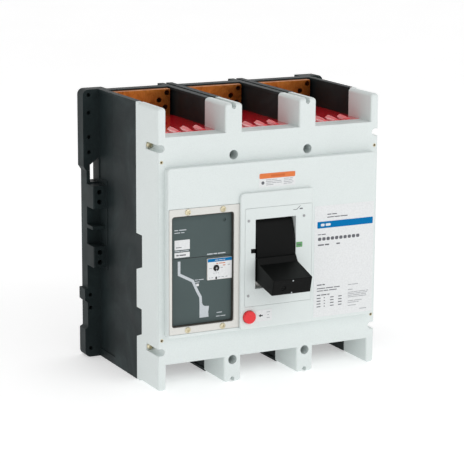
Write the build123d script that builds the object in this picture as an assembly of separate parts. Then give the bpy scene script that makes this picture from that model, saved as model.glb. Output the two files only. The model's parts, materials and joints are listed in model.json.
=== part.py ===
from build123d import *
import math
import os

# ---------------------------------------------------------------- driving dimensions (mm)
# Row frame: +X right seen from the front, +Y towards the rear mounting plane (Y = 0), +Z up.
# The origin is the centre of the four through-bolt holes, on the rear mounting plane.
HEIGHT = 406.4
BODY_WIDTH = 354.2
NECK_WIDTH = 393.7
EAR_WIDTH = 403.0
BODY_DEPTH = 230.7
POLE_PITCH = 118.6
POLE_COUNT = 3
BOLT_PITCH_Z = 299.6
BOLT_BELOW_TOP = 73.2
BOLT_HOLE_R = 6.75
RUN_GAP = 0.4

TOP = BOLT_PITCH_Z / 2 + BOLT_BELOW_TOP
BOTTOM = TOP - HEIGHT
FRONT = -BODY_DEPTH
SIDE = BODY_WIDTH / 2
POLES = [POLE_PITCH * (i - (POLE_COUNT - 1) / 2) for i in range(POLE_COUNT)]
POLE_NAMES = ["a", "b", "c"]
DIVIDERS = [-POLE_PITCH / 2, POLE_PITCH / 2]
BOLT_ZS = [-BOLT_PITCH_Z / 2, BOLT_PITCH_Z / 2]

# front cover
COVER_DEPTH = 65.3
COVER_WALL = 12.6
COVER_SKIN = 9.0
DIVIDER_HALF = 13.45
SIDE_LIP = 73.4
LEDGE_DEPTH = 33.0
LEDGE_Z = TOP - 41.4
LOWER_BAND_Z = BOTTOM + 38.8
PANEL_RISE = 12.0
PANEL_HALF = 167.0
PANEL_Z = (-104.0, 139.5)
COLUMN_RISE = 17.0
COLUMN_X = (-56.0, 62.0)
COLUMN_Z = (-102.5, 96.2)
BARRIER_NOTCH_R = 3.2
BARRIER_NOTCH_CENTRE = 5.0

# side channels that hold the cover screws, and the small front inserts
CHANNEL_R = 5.25
CHANNEL_X = SIDE - CHANNEL_R
CHANNEL_ZS = [166.1, -125.9]
CHANNEL_DEPTH = 40.0
INSERT_X = 171.3
INSERT_ZS = [146.9, -108.5]
INSERT_R = 2.6

# trip unit
TRIP_FRAME_X = (-165.3, -55.3)
TRIP_FRAME_Z = (-98.6, 81.2)
TRIP_FRAME_GAP = 0.6
TRIP_WINDOW_X = (-161.2, -64.0)
TRIP_WINDOW_Z = (-88.6, 71.0)
TRIP_FRAME_THICK = 1.8
TRIP_SEAT = 1.5
TRIP_FACE_DEPTH = 6.0
TRIP_BODY_X = (-160.0, -77.0)
TRIP_BODY_DEPTH = 68.0
TRIP_SCREW_X = (-136.7, -81.8)
TRIP_SCREW_Z = (-93.8, 76.0)
PLUG_X = (-104.0, -64.9)
PLUG_Z = (-26.0, 5.2)
PLUG_SCREW_X = -90.0
PLUG_SCREW_Z = -9.2
FACE_RECESS_X = -76.6
FACE_RECESS_Z = 59.4

# handle
HANDLE_PIVOT_Y = FRONT + 80.0
HANDLE_PIVOT_Z = 6.6
HANDLE_OFF_DEG = 14.0
HANDLE_TRAVEL_DEG = 28.0
HANDLE_HALF_WIDTH = 30.9
HANDLE_REACH = 153.5
LEVER_TIP_Z = (-13.6, 9.8)
LEVER_ROOT_Z = (-16.0, 19.5)
LEVER_SCREW_X = -14.5
LEVER_SCREW_Z = -2.5
SHIELD_SPLIT_DEG = -9.8
SHIELD_GAP_DEG = 0.6
DRUM_R = 99.5
DRUM_THICK = 3.0
DRUM_ABOVE_DEG = 45.0
DRUM_BELOW_DEG = 43.0
DRUM_CLEARANCE = 0.8
OPENING_X = 32.6
OPENING_Z = (-43.9, 57.2)
ESCUTCHEON_X = (-49.0, 59.0)
ESCUTCHEON_Z = (-69.3, 73.6)
ESCUTCHEON_THICK = 1.8
ESCUTCHEON_SEAT = 1.5
ESCUTCHEON_SCREW_X = (-43.6, 45.6)
ESCUTCHEON_SCREW_Z = (-53.1, 56.1)

# push-to-trip button
BUTTON_X = -42.0
BUTTON_Z = -84.3
BUTTON_R = 9.4
BUTTON_TRAVEL = 4.0

# base housing
BASE_FRONT = FRONT + SIDE_LIP
BASE_SIDE_WALL = 9.0
REAR_WALL = (FRONT + 193.0, FRONT + 211.0)
WEB_HALF = 10.0
CAP_HALF = 12.0
CAP_THICK = 4.0
GROOVE_HALF = 2.4
GROOVE_DEPTH = 12.0
FLANGE_FRONT = FRONT + 209.0
BOSS_FRONT = FRONT + 183.5
REAR_LEG_WIDTH = 14.0
SLOT_X = (0.2, 14.2)
BOSS_Z = [(49.0, 83.0), (-40.0, -8.0)]
BOSS_HOLE_X = 9.9
BOSS_HOLE_Z = [73.8, 59.2, -17.0, -32.0]
BOSS_HOLE_R = 3.8
CORE_HOLE_X = 15.4
CORE_HOLE_R = 3.0
CORE_HOLE_Z = [215.0, 188.7, 152.7, 130.0, -86.9, -106.7, -169.6]

# conductors
PAD_HALF = 44.45
PAD_Y = (FRONT + 180.0, FRONT + 192.7)
PAD_HOLES = [(26.7, 205.1), (36.7, 193.9), (39.4, 215.4)]
PAD_HOLE_R = 4.0
LINE_PAD_Z = (116.6, 221.1)
LOAD_PAD_Z = (BOTTOM + 2.0, -105.0)
TONGUE_HALF = 22.0

# contact system: the crossbar turns on its own axis and carries one arm group per pole
CROSSBAR_Y = FRONT + 140.0
CROSSBAR_Z = -33.4
CROSSBAR_R = 13.0
CROSSBAR_TRAVEL_DEG = 28.0
ARM_FINGERS = 5
FINGER_THICK = 5.0
FINGER_PITCH = 7.0
FIXED_TIP_Z = (CROSSBAR_Z + 84.0, CROSSBAR_Z + 102.0)
TIP_THICK = 4.0

# trip bar
TRIP_BAR_Y = FRONT + 52.0
TRIP_BAR_Z = -100.0
TRIP_BAR_R = 4.0
TRIP_BAR_X = (-90.0, 36.0)
TRIP_BEARING_X = (-80.0, 30.0)
BUTTON_GAP = 0.4

# operating mechanism
PLATE_X = 38.0
CRADLE_Y = FRONT + 86.0
CRADLE_Z = HANDLE_PIVOT_Z + 45.0
LATCH_Y = FRONT + 40.0
LATCH_Z = HANDLE_PIVOT_Z - 36.0

# arc chutes
ARC_PLATE_COUNT = 9
ARC_PLATE_Y = (FRONT + 78.0, FRONT + 160.0)
ARC_Z = (CROSSBAR_Z + 112.0, LEDGE_Z - 8.6)


# ---------------------------------------------------------------- helpers
def block(x, y, z):
    """Box from (low, high) pairs."""
    size = [abs(b - a) for a, b in (x, y, z)]
    centre = [(a + b) / 2 for a, b in (x, y, z)]
    return Pos(*centre) * Box(*size)


def span(centre, half):
    return (centre - half, centre + half)


def rod_y(x, z, r, y):
    return Pos(x, (y[0] + y[1]) / 2, z) * Rot(90, 0, 0) * Cylinder(r, abs(y[1] - y[0]))


def rod_x(y, z, r, x):
    return Pos((x[0] + x[1]) / 2, y, z) * Rot(0, 90, 0) * Cylinder(r, abs(x[1] - x[0]))


def along(shape, axis):
    return shape.edges().filter_by(axis)


def front_edges(shape):
    return shape.faces().sort_by(Axis.Y)[0].edges()


def slab(x, y, z, corner, edge):
    """Plate with round corners in the XZ plane and softened front edges."""
    plate = block(x, y, z)
    plate = fillet(along(plate, Axis.Y), corner)
    return fillet(front_edges(plate), edge) if edge else plate


def turned(shape, degrees, y, z):
    """Turn a shape about the X-parallel axis through (y, z)."""
    return Pos(0, y, z) * Rot(degrees, 0, 0) * Pos(0, -y, -z) * shape


def both_sides(shape):
    return shape + mirror(shape, Plane.YZ)


def joined(shapes):
    total = shapes[0]
    for shape in shapes[1:]:
        total = total + shape
    return total


def group(shapes):
    """Separate solids kept side by side in one node."""
    return Compound(children=[s for shape in shapes for s in shape.solids()])


def bolt_bores():
    return [rod_y(x, z, BOLT_HOLE_R, (FRONT - 30, 5)) for x in DIVIDERS for z in BOLT_ZS]


# ---------------------------------------------------------------- front cover
def cover_leg(x):
    """One full-height wall of the cover with a round front nose."""
    leg = block(x, (FRONT, FRONT + COVER_DEPTH), (BOTTOM, TOP))
    leg = fillet(along(leg, Axis.Z).sort_by(Axis.Y)[:2], 2.5)
    rear = leg.faces().sort_by(Axis.Y)[-1]
    ends = [f for f in leg.faces() if abs(f.normal_at().Z) > 0.9]
    noses = [e for f in ends for e in f.edges() if e not in rear.edges()]
    return fillet([e for e in noses if abs(e.center().Y - FRONT) < 1e-3], 5.0)


def tab_profile(gap):
    """Pair of forward locking tabs of the base on the left and right walls."""
    tabs = []
    for low, high, reach in ((-19.4, 33.4, 19.4), (-118.7, -75.4, 17.0)):
        points = [(BASE_FRONT + 1, low - gap), (BASE_FRONT - reach - gap, low + 7 - gap),
                  (BASE_FRONT - reach - gap, high + gap), (BASE_FRONT + 1, high + gap)]
        face = Plane.YZ * make_face(Polyline(*points, close=True))
        tabs.append(Pos(SIDE - 5.2 - gap, 0, 0) * extrude(face, 5.2 + 2 * gap))
    return both_sides(joined(tabs))


def cover_cavity():
    cuts = []
    for i, x in enumerate(POLES):
        left = -SIDE + COVER_WALL if i == 0 else DIVIDERS[i - 1] + DIVIDER_HALF
        right = SIDE - COVER_WALL if i == POLE_COUNT - 1 else DIVIDERS[i] - DIVIDER_HALF
        cuts.append(block((left, right), (FRONT + COVER_SKIN, FRONT + 90), (LOWER_BAND_Z + 10, LEDGE_Z - 8)))
        cuts.append(block((left, right), (FRONT + LEDGE_DEPTH, FRONT + 90), (LEDGE_Z - 9, LEDGE_Z + 1)))
    return cuts


def screw_channel(z):
    channel = rod_y(CHANNEL_X, z, CHANNEL_R, (FRONT - 1, FRONT + CHANNEL_DEPTH))
    mouth = block((CHANNEL_X, SIDE + 2), (FRONT - 1, FRONT + CHANNEL_DEPTH), span(z, CHANNEL_R))
    shank = rod_y(CHANNEL_X, z, 2.7, (FRONT + CHANNEL_DEPTH - 1, FRONT + 80))
    return both_sides(channel + mouth + shank)


def barrier_notch(x, end, inward):
    """Round-bottomed groove that takes the edge of an interphase barrier."""
    y = (FRONT - 1, FRONT + COVER_DEPTH + 1)
    reach = BARRIER_NOTCH_CENTRE * inward
    slot = block(span(x, BARRIER_NOTCH_R), y, sorted((end - reach, end + reach)))
    return slot + rod_y(x, end + reach, BARRIER_NOTCH_R, y)


def front_cover():
    legs = [cover_leg(span(x, DIVIDER_HALF)) for x in DIVIDERS]
    outer = cover_leg((SIDE - COVER_WALL, SIDE))
    legs.append(outer)
    legs.append(mirror(outer, Plane.YZ))
    core = block((-SIDE + 1, SIDE - 1), (FRONT, FRONT + COVER_DEPTH), (LOWER_BAND_Z, LEDGE_Z))
    for cut in cover_cavity():
        core = core - cut
    cover = joined([core] + legs)
    lip = block((SIDE - 6.0, SIDE), (FRONT + COVER_DEPTH - 1, FRONT + SIDE_LIP), (BOTTOM, TOP))
    cover = cover + both_sides(lip)
    panel = slab(span(0, PANEL_HALF), (FRONT - PANEL_RISE, FRONT + 2), PANEL_Z, 5.0, 1.5)
    column = slab(COLUMN_X, (FRONT - COLUMN_RISE, FRONT - 2), COLUMN_Z, 6.0, 1.5)
    cover = cover + panel + column
    for cut in cover_openings():
        cover = cover - cut
    return cover


def cover_openings():
    front = FRONT - PANEL_RISE
    cuts = bolt_bores()
    pocket = [(low - TRIP_FRAME_GAP, high + TRIP_FRAME_GAP) for low, high in (TRIP_FRAME_X, TRIP_FRAME_Z)]
    cuts.append(slab(pocket[0], (front - 1, front + TRIP_SEAT), pocket[1], 1.5, 0))
    cuts.append(block(TRIP_WINDOW_X, (front - 1, front + TRIP_FACE_DEPTH + 3.2), TRIP_WINDOW_Z))
    cuts.append(block((TRIP_BODY_X[0] - 0.5, TRIP_BODY_X[1] + 0.5), (front, FRONT + 66),
                      (TRIP_WINDOW_Z[0], TRIP_WINDOW_Z[1])))
    for x in TRIP_SCREW_X:
        for z in TRIP_SCREW_Z:
            cuts.append(rod_y(x, z, 1.7, (front - 1, front + 9)))
    crown = FRONT - COLUMN_RISE
    cuts.append(slab((ESCUTCHEON_X[0] - 0.3, ESCUTCHEON_X[1] + 0.3), (crown - 1, crown + ESCUTCHEON_SEAT),
                     (ESCUTCHEON_Z[0] - 0.3, ESCUTCHEON_Z[1] + 0.3), 2.0, 0))
    cuts.append(block(span(0, OPENING_X), (crown - 1, FRONT), OPENING_Z))
    cuts.append(rod_x(HANDLE_PIVOT_Y, HANDLE_PIVOT_Z, DRUM_R + DRUM_CLEARANCE, span(0, OPENING_X)))
    for x in ESCUTCHEON_SCREW_X:
        for z in ESCUTCHEON_SCREW_Z:
            cuts.append(rod_y(x, z, 1.2, (crown - 1, crown + 9)))
    cuts.append(rod_y(BUTTON_X, BUTTON_Z, BUTTON_R + RUN_GAP, (crown - 1, FRONT - 4)))
    cuts.append(rod_y(BUTTON_X, BUTTON_Z, 3.5, (crown, FRONT + 40)))
    cuts.append(rod_y(BUTTON_X, BUTTON_Z, 7.0, (FRONT - 2, FRONT + 40)))
    cuts.extend(screw_channel(z) for z in CHANNEL_ZS)
    for x in (-INSERT_X, INSERT_X):
        for z in INSERT_ZS:
            cuts.append(rod_y(x, z, INSERT_R, (FRONT - 1, FRONT + 12)))
    for x in DIVIDERS:
        cuts.append(barrier_notch(x, TOP, -1))
        cuts.append(barrier_notch(x, BOTTOM, 1))
    cuts.append(block((TRIP_BAR_X[0] - 2, TRIP_BAR_X[1] + 2), (TRIP_BAR_Y - 16, FRONT + 66),
                      (TRIP_BAR_Z - 14, TRIP_BAR_Z + 24)))
    cuts.append(tab_profile(0.25))
    return cuts


# ---------------------------------------------------------------- base housing
def flange():
    """Right-hand rear flange: an eared strip with a slot, bosses and blind core holes."""
    neck = NECK_WIDTH / 2
    ear = EAR_WIDTH / 2
    inner = SIDE - REAR_LEG_WIDTH
    outline = Polyline(
        (inner, TOP), (ear, TOP), (ear, 108.6), (neck, 101.5), (neck, -77.4), (ear, -77.4),
        (ear, -95.0), (neck, -99.0), (neck, -137.0), (ear, -139.4), (ear, BOTTOM), (inner, BOTTOM),
        close=True)
    plate = extrude(Plane.XZ * make_face(outline), BODY_DEPTH - (FLANGE_FRONT - FRONT))
    corners = [e for e in along(plate, Axis.Y) if e.center().X > ear - 1 and abs(e.center().Z - 20) > 195]
    plate = fillet(corners, 9.0)
    near, far = SIDE + SLOT_X[0], SIDE + SLOT_X[1]
    slot = Polyline((near, 85.0), (far, 85.0), (far, 111.0), (near, 121.0), close=True)
    plate = plate - extrude(Plane((0, 5, 0), x_dir=(1, 0, 0), z_dir=(0, -1, 0)) * make_face(slot), 40)
    for low, high in BOSS_Z:
        boss = block((SIDE - 1, neck), (BOSS_FRONT, FLANGE_FRONT + 1), (low, high))
        boss = fillet(along(boss, Axis.Z).sort_by(Axis.Y)[:2].sort_by(Axis.X)[-1:], 2.0)
        plate = plate + boss
    rib = block((SIDE - 1, neck), (BOSS_FRONT + 4, FLANGE_FRONT + 1), (17.0, 22.0))
    plate = plate + rib
    for z in BOSS_HOLE_Z:
        plate = plate - rod_y(SIDE + BOSS_HOLE_X, z, BOSS_HOLE_R, (BOSS_FRONT - 1, BOSS_FRONT + 18))
    for z in CORE_HOLE_Z:
        plate = plate - rod_y(SIDE + CORE_HOLE_X, z, CORE_HOLE_R, (FLANGE_FRONT - 1, FLANGE_FRONT + 9))
    return plate


def divider_web(x):
    """Black wall between two poles, with a grooved cap at the top and the bottom."""
    y = (FRONT + COVER_DEPTH + 0.2, 0)
    web = block(span(x, WEB_HALF), y, (BOTTOM, TOP))
    for end, inward in ((TOP, -1), (BOTTOM, 1)):
        web = web + block(span(x, CAP_HALF), y, sorted((end, end + inward * CAP_THICK)))
    return web


def barrier_groove(x, end, inward):
    """Groove that carries on behind the cover's notch, right through to the mounting plane."""
    depth = sorted((end - inward, end + inward * GROOVE_DEPTH))
    return block(span(x, GROOVE_HALF), (FRONT + COVER_DEPTH, 1), depth)


def base_housing():
    rear = block(span(0, SIDE), REAR_WALL, (BOTTOM, TOP))
    side = block((SIDE - BASE_SIDE_WALL, SIDE), (BASE_FRONT + 0.2, REAR_WALL[1]), (BOTTOM, TOP))
    leg = block((SIDE - REAR_LEG_WIDTH, SIDE), (REAR_WALL[0], 0), (BOTTOM, TOP))
    base = rear + both_sides(side + leg + flange()) + tab_profile(0)
    for x in DIVIDERS:
        base = base + divider_web(x)
    for x in POLES:
        floor_y = (FRONT + COVER_DEPTH + 0.2, PAD_Y[0] - 1.5)
        shelf_y = (PAD_Y[0] - 8.0, PAD_Y[0] - 1.0)
        base = base + block(span(x, 50.0), floor_y, (LOWER_BAND_Z, LOWER_BAND_Z + 6))
        base = base + block(span(x, 50.0), shelf_y, (LEDGE_Z - 8.0, LEDGE_Z - 4.0))
    for cut in base_openings():
        base = base - cut
    return base


def base_openings():
    cuts = bolt_bores()
    for x in DIVIDERS:
        cuts.append(rod_x(CROSSBAR_Y, CROSSBAR_Z, CROSSBAR_R + 2.0, span(x, 20)))
        cuts.append(block(span(x, 20), (FRONT + 60, TRIP_BAR_Y + 16), span(TRIP_BAR_Z, 14)))
        cuts.append(barrier_groove(x, TOP, -1))
        cuts.append(barrier_groove(x, BOTTOM, 1))
    socket = rod_x(CROSSBAR_Y, CROSSBAR_Z, 8.05, (SIDE - BASE_SIDE_WALL - 1, SIDE - 2.5))
    cuts.append(both_sides(socket))
    shallow = slab((SIDE - 1.2, SIDE + 1), (FRONT + 153.0, FLANGE_FRONT), (BOTTOM + 12, TOP - 4), 1.0, 0)
    cuts.append(both_sides(shallow - block((SIDE - 3, SIDE + 3), (BOSS_FRONT - 4, 0), (-44, 90))))
    for z in CHANNEL_ZS:
        cuts.append(both_sides(rod_y(CHANNEL_X, z, 2.5, (FRONT + 70, FRONT + 100))))
    return cuts


# ---------------------------------------------------------------- arc chamber parts
def vent_baffle(x):
    """Red floor of a line-side well with four ramped vents."""
    top = LEDGE_Z + 0.4
    floor = block(span(x, 45.5), (FRONT + LEDGE_DEPTH + 0.3, FRONT + COVER_DEPTH + 1.5), (top - 3.6, top))
    floor = floor + block(span(x, 49.0), (FRONT + COVER_DEPTH + 0.6, PAD_Y[0] - 1.2), (top - 3.6, top))
    for step in (-30, -10, 10, 30):
        ramp = Polyline((FRONT + 66, top - 0.5), (FRONT + 35, top - 0.5), (FRONT + 66, top + 4.0), close=True)
        ramp = extrude(Plane.YZ * make_face(ramp), 9.0)
        vent = block((0, 9), (FRONT + 66.2, FRONT + 72), (top - 10, top + 1))
        floor = floor + Pos(x + step - 4.5, 0, 0) * ramp
        floor = floor - Pos(x + step - 4.5, 0, 0) * vent
    return floor


def arc_plates(x):
    pitch = (ARC_PLATE_Y[1] - ARC_PLATE_Y[0]) / (ARC_PLATE_COUNT - 1)
    plates = []
    for i in range(ARC_PLATE_COUNT):
        y = ARC_PLATE_Y[0] + i * pitch
        plate = block(span(x, 34.0), span(y, 0.8), ARC_Z)
        throat = Polyline((x - 14, ARC_Z[0] - 1), (x, ARC_Z[0] + 26), (x + 14, ARC_Z[0] - 1), close=True)
        cut = extrude(Plane((0, y + 2, 0), x_dir=(1, 0, 0), z_dir=(0, -1, 0)) * make_face(throat), 4)
        plates.append(plate - cut)
    return group(plates)


def arc_side_cards(x):
    y = (ARC_PLATE_Y[0] - 6, ARC_PLATE_Y[1] + 6)
    return group([block((x + side * 34.1, x + side * 36.6), y, ARC_Z) for side in (-1, 1)])


# ---------------------------------------------------------------- conductors
def line_terminal(x):
    pad = block(span(x, PAD_HALF), PAD_Y, LINE_PAD_Z)
    for offset, z in PAD_HOLES:
        for s in (-1, 1):
            pad = pad - rod_y(x + s * offset, z, PAD_HOLE_R, (PAD_Y[0] - 1, PAD_Y[1] + 1))
    tongue_z = (FIXED_TIP_Z[0] - 4, LINE_PAD_Z[0] + 14)
    tongue = block(span(x, TONGUE_HALF), (PAD_Y[0] - 10.0, PAD_Y[0] + 2), tongue_z)
    return pad + tongue


def load_terminal(x):
    pad = block(span(x, PAD_HALF), PAD_Y, LOAD_PAD_Z)
    for offset, z in PAD_HOLES:
        drop = TOP - z
        for s in (-1, 1):
            pad = pad - rod_y(x + s * offset, BOTTOM + drop, PAD_HOLE_R, (PAD_Y[0] - 1, PAD_Y[1] + 1))
    riser_z = (LOAD_PAD_Z[1] - 12, CROSSBAR_Z - 4)
    riser = block(span(x, TONGUE_HALF), (PAD_Y[0] - 4.0, PAD_Y[0] + 8.7), riser_z)
    return pad + riser


def current_transformer(x):
    z = (LOAD_PAD_Z[1] + 0.5, LOAD_PAD_Z[1] + 25.0)
    ring = block(span(x, 43.0), (PAD_Y[0] - 26, PAD_Y[1] + 0.1), z)
    ring = fillet(along(ring, Axis.Z), 6.0)
    return ring - block(span(x, TONGUE_HALF + 1), (PAD_Y[0] - 5, PAD_Y[0] + 9.7), (z[0] - 1, z[1] + 1))


def flexible_shunt(x):
    """Laminated copper strap that feeds the arms from the load riser."""
    y = PAD_Y[0] - 4.0
    low, high = CROSSBAR_Z - 44, CROSSBAR_Z - 9.5
    strap = block(span(x, 16.0), (y - 22, y), (low, low + 3))
    strap = strap + block(span(x, 16.0), (y - 25, y - 22), (low, high))
    return fillet(along(strap, Axis.X).sort_by(Axis.Z)[:1], 1.4)


def fixed_tips():
    y = PAD_Y[0] - 10.0
    return group([block(span(x, 17.0), (y - TIP_THICK, y), FIXED_TIP_Z) for x in POLES])


# ---------------------------------------------------------------- moving contacts (drawn open)
def opened(shape):
    return turned(shape, CROSSBAR_TRAVEL_DEG, CROSSBAR_Y, CROSSBAR_Z)


def finger_xs(x):
    middle = (ARM_FINGERS - 1) / 2
    return [x + (i - middle) * FINGER_PITCH for i in range(ARM_FINGERS)]


def closed_face_y():
    return PAD_Y[0] - 10.0 - TIP_THICK - 0.5


def contact_arms(x):
    face = closed_face_y() - TIP_THICK
    root = CROSSBAR_Z + CROSSBAR_R - 4
    fingers = []
    for finger_x in finger_xs(x):
        outline = Polyline((CROSSBAR_Y - 6, root), (CROSSBAR_Y + 6, root), (face, FIXED_TIP_Z[0] - 6),
                           (face, FIXED_TIP_Z[1] + 1), (face - 10, FIXED_TIP_Z[1] + 1), close=True)
        finger = extrude(Plane.YZ * make_face(outline), FINGER_THICK)
        fingers.append(opened(Pos(finger_x - FINGER_THICK / 2, 0, 0) * finger))
    return group(fingers)


def moving_tips():
    face = closed_face_y()
    tips = [block(span(fx, FINGER_THICK / 2), (face - TIP_THICK, face), FIXED_TIP_Z)
            for x in POLES for fx in finger_xs(x)]
    return group([opened(tip) for tip in tips])


def crossbar():
    bar = rod_x(CROSSBAR_Y, CROSSBAR_Z, CROSSBAR_R, span(0, SIDE - BASE_SIDE_WALL - 1))
    bar = bar + rod_x(CROSSBAR_Y, CROSSBAR_Z, 8.0, span(0, SIDE - 3.0))
    half = ARM_FINGERS * FINGER_PITCH / 2 + 3
    root = CROSSBAR_Z + CROSSBAR_R - 4
    top = root + 20
    for x in POLES:
        bar = bar + block(span(x, half), span(CROSSBAR_Y, 12), (CROSSBAR_Z, top))
        for finger_x in finger_xs(x):
            bar = bar - block(span(finger_x, FINGER_THICK / 2), span(CROSSBAR_Y, 14), (root, top + 1))
    return opened(bar)


# ---------------------------------------------------------------- operating mechanism
def mechanism_plates():
    x = (PLATE_X, PLATE_X + 3.0)
    plate = block(x, (FRONT + 22.0, FRONT + 122.0), (HANDLE_PIVOT_Z - 52, HANDLE_PIVOT_Z + 62))
    plate = fillet(along(plate, Axis.X), 8.0)
    plate = plate + block(x, (FRONT + 84.0, FRONT + 110.0), (LOWER_BAND_Z + 6, HANDLE_PIVOT_Z - 50))
    plate = plate - rod_x(HANDLE_PIVOT_Y, HANDLE_PIVOT_Z, 4.0, (PLATE_X - 2, PLATE_X + 5))
    plate = plate - rod_x(CRADLE_Y, CRADLE_Z, 3.0, (PLATE_X - 2, PLATE_X + 5))
    plate = plate - rod_x(LATCH_Y, LATCH_Z, 2.5, (PLATE_X - 2, PLATE_X + 5))
    return group([plate, mirror(plate, Plane.YZ)])


def handle_pivot_pin():
    return rod_x(HANDLE_PIVOT_Y, HANDLE_PIVOT_Z, 4.0, span(0, PLATE_X + 5.0))


def cradle_pin():
    return rod_x(CRADLE_Y, CRADLE_Z, 3.0, span(0, PLATE_X + 4.5))


def cradle():
    """Latched lever: the latch holds its nose down until the breaker trips."""
    nose_z = (LATCH_Z + 3.6, LATCH_Z + 9.2)
    arms = []
    for side in (-1, 1):
        outline = Polyline(
            (CRADLE_Y - 9, CRADLE_Z + 6), (CRADLE_Y + 7, CRADLE_Z + 6), (CRADLE_Y + 7, CRADLE_Z - 6),
            (FRONT + 60, nose_z[0]), (FRONT + 45, nose_z[0]), (FRONT + 45, nose_z[1]), close=True)
        arm = extrude(Plane.YZ * make_face(outline), 2.5)
        arms.append(Pos(side * 26.0 - 1.25, 0, 0) * arm)
    nose = block(span(0, 27.25), (FRONT + 45, FRONT + 53), nose_z)
    body = joined(arms + [nose])
    return body - rod_x(CRADLE_Y, CRADLE_Z, 3.05, span(0, 30))


def latch():
    """Primary latch plate that the trip bar frees."""
    plate = block(span(0, 14.0), span(LATCH_Y, 2.0), (LATCH_Z - 30, LATCH_Z + 12.6))
    hook = block(span(0, 14.0), (LATCH_Y - 2, LATCH_Y + 7), (LATCH_Z + 9.6, LATCH_Z + 12.6))
    barrel = rod_x(LATCH_Y, LATCH_Z, 5.5, span(0, 16.0))
    return plate + hook + barrel - rod_x(LATCH_Y, LATCH_Z, 2.55, span(0, 30))


def latch_pin():
    return rod_x(LATCH_Y, LATCH_Z, 2.5, span(0, PLATE_X + 4.5))


# ---------------------------------------------------------------- handle (drawn OFF)
def at_off(shape):
    return turned(shape, HANDLE_OFF_DEG, HANDLE_PIVOT_Y, HANDLE_PIVOT_Z)


def drum_sector(from_deg, to_deg):
    """Part of the curved shield between two angles about the pivot, 0 pointing straight ahead."""
    y, z = HANDLE_PIVOT_Y, HANDLE_PIVOT_Z
    outer = rod_x(y, z, DRUM_R, span(0, HANDLE_HALF_WIDTH))
    inner = rod_x(y, z, DRUM_R - DRUM_THICK, span(0, HANDLE_HALF_WIDTH + 5))
    reach = 130.0
    low = z + reach * math.tan(math.radians(from_deg))
    high = z + reach * math.tan(math.radians(to_deg))
    wedge = Polyline((y, z), (y - reach, high), (y - reach, low), close=True)
    return (outer - inner) & extrude(Plane.YZ * make_face(wedge), HANDLE_HALF_WIDTH + 3, both=True)


def handle_grip():
    """Square lever block on the curved shield that closes the upper part of the opening."""
    y, z = HANDLE_PIVOT_Y, HANDLE_PIVOT_Z
    tip = y - HANDLE_REACH
    root = y - DRUM_R + DRUM_THICK + 1.4
    heel = y - DRUM_R
    outline = Polyline(
        (root, z + LEVER_ROOT_Z[1]), (heel - 0.6, z + LEVER_ROOT_Z[1]), (heel - 8.0, z + 12.6),
        (tip, z + LEVER_TIP_Z[1]), (tip, z + LEVER_TIP_Z[0]), (root, z + LEVER_ROOT_Z[0]), close=True)
    lever = extrude(Plane.YZ * make_face(outline), HANDLE_HALF_WIDTH - 0.1, both=True)
    lever = fillet(front_edges(lever), 1.2)
    lever = lever - rod_y(LEVER_SCREW_X, z + LEVER_SCREW_Z, 4.2, (tip - 1, tip + 1.6))
    return at_off(drum_sector(SHIELD_SPLIT_DEG, DRUM_ABOVE_DEG) + lever)


def handle_lower_shutter():
    """Light-coloured continuation of the shield below the lever."""
    return at_off(drum_sector(-DRUM_BELOW_DEG, SHIELD_SPLIT_DEG - SHIELD_GAP_DEG))


def handle_screw():
    tip = HANDLE_PIVOT_Y - HANDLE_REACH
    z = HANDLE_PIVOT_Z + LEVER_SCREW_Z
    head = rod_y(LEVER_SCREW_X, z, 3.8, (tip + 0.5, tip + 1.6))
    head = head - block(span(LEVER_SCREW_X, 3.0), (tip, tip + 1.1), span(z, 0.5))
    return at_off(head)


def handle_yoke():
    """Steel fork from the shield back to the pivot pin."""
    y, z = HANDLE_PIVOT_Y, HANDLE_PIVOT_Z
    front = y - DRUM_R + DRUM_THICK
    arms = []
    for side in (-1, 1):
        outline = Polyline(
            (y + 8, z + 8), (y + 8, z - 8), (front + 4, z - 14), (front + 4, z + 14), close=True)
        arms.append(Pos(side * 29.0 - 1.25, 0, 0) * extrude(Plane.YZ * make_face(outline), 2.5))
    bridge = block(span(0, 30.25), (front + 1.4, front + 4), span(z, 14))
    fork = joined(arms + [bridge]) - rod_x(y, z, 4.05, span(0, 40))
    return at_off(fork)


def spring_coil(length, radius, wire, turns):
    path = Helix(pitch=length / turns, height=length, radius=radius)
    start = path @ 0
    profile = Plane(origin=start, z_dir=path % 0) * Circle(wire)
    return sweep(profile, path=path)


def operating_springs():
    """Two extension springs that ride on the yoke."""
    y, z = HANDLE_PIVOT_Y, HANDLE_PIVOT_Z
    coil = Rot(90, 0, 0) * spring_coil(44.0, 4.6, 0.9, 11)
    return group([at_off(Pos(s * 11.0, y - 36, z) * coil) for s in (-1, 1)])


def spring_anchor():
    y, z = HANDLE_PIVOT_Y, HANDLE_PIVOT_Z
    return at_off(rod_x(y - 84.0, z, 2.5, span(0, 27.75)))


# ---------------------------------------------------------------- trip unit
def trip_frame():
    front = FRONT - PANEL_RISE
    y = (front + TRIP_SEAT - TRIP_FRAME_THICK, front + TRIP_SEAT)
    plate = slab(TRIP_FRAME_X, y, TRIP_FRAME_Z, 1.2, 0.4)
    window = slab((TRIP_WINDOW_X[0], TRIP_WINDOW_X[1]), (y[0] - 1, y[1] + 1),
                  (TRIP_WINDOW_Z[0], TRIP_WINDOW_Z[1]), 4.0, 0)
    plate = plate - window
    for x in TRIP_SCREW_X:
        for z in TRIP_SCREW_Z:
            plate = plate - rod_y(x, z, 1.75, (y[0] - 1, y[1] + 1))
    return plate


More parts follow.
